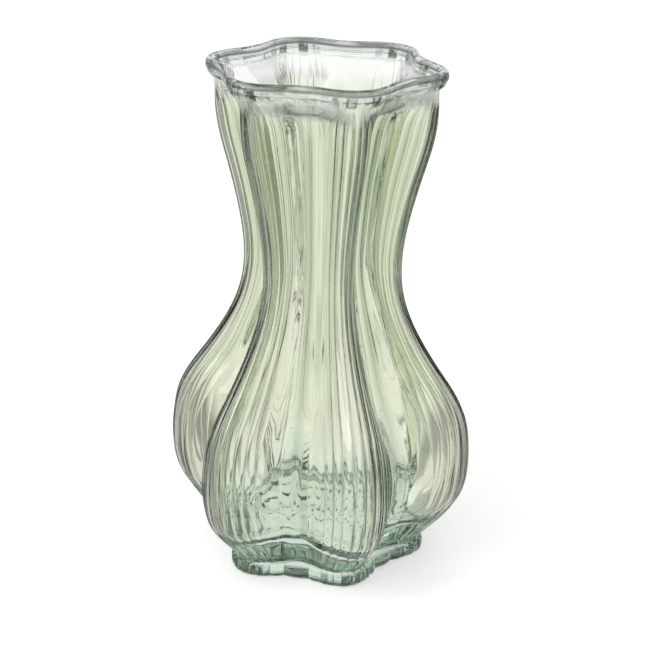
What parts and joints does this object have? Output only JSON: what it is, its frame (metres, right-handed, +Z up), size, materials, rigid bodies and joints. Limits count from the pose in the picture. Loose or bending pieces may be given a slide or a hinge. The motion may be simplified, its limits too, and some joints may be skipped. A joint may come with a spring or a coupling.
{
  "type": "lobed glass vase",
  "caption": "Tall pressed green glass flower vase with deep upright lobes, a waisted neck, a pointed flared mouth and a low scalloped foot.",
  "frame": {"origin": "middle of the underside, on the surface that the vase stands on", "axes": "+Z up along the vase's axis, one lobe points along -Y"},
  "size_m": [0.1366, 0.1556, 0.25],
  "materials": {
    "green_glass": "polished, pale sage green, with fine upright flutes"
  },
  "bodies": {
    "root": {"vase": "green_glass"}
  },
  "joints": []
}
